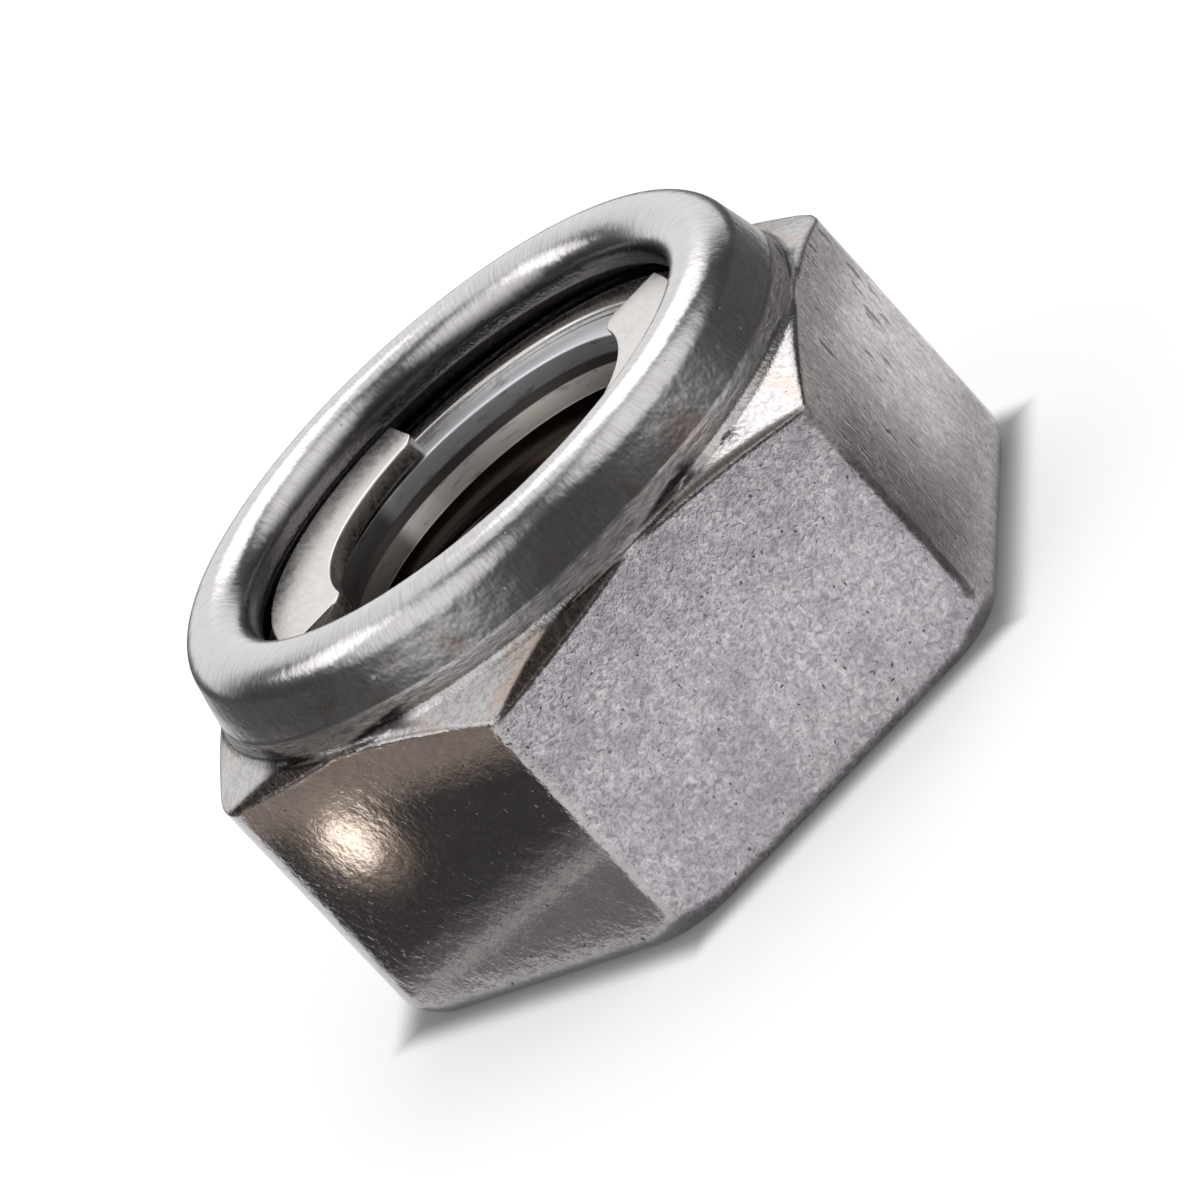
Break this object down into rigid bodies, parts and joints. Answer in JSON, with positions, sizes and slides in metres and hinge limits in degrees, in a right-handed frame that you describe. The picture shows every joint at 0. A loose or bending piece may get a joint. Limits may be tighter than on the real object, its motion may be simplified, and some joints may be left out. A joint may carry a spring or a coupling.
{
  "type": "lock nut",
  "caption": "All-metal hexagon lock nut with a rolled collar that traps a spring-steel locking ring, whose raised tabs grip the bolt's thread.",
  "frame": {"origin": "centre of the bearing face, on the thread's axis", "axes": "+Z along the thread's axis from the bearing face to the collar, +X through one corner of the hexagon, so that two flats face +Y and -Y"},
  "size_m": [0.018, 0.016, 0.0092],
  "materials": {
    "body_steel": "plain stainless steel: matte, finely pitted flats and facets, turned and rolled collar with a satin shine",
    "ring_steel": "rolled spring steel sheet with a smooth satin face and bright sheared edges"
  },
  "bodies": {
    "root": {"nut_body": "body_steel", "locking_ring": "ring_steel"}
  },
  "joints": []
}
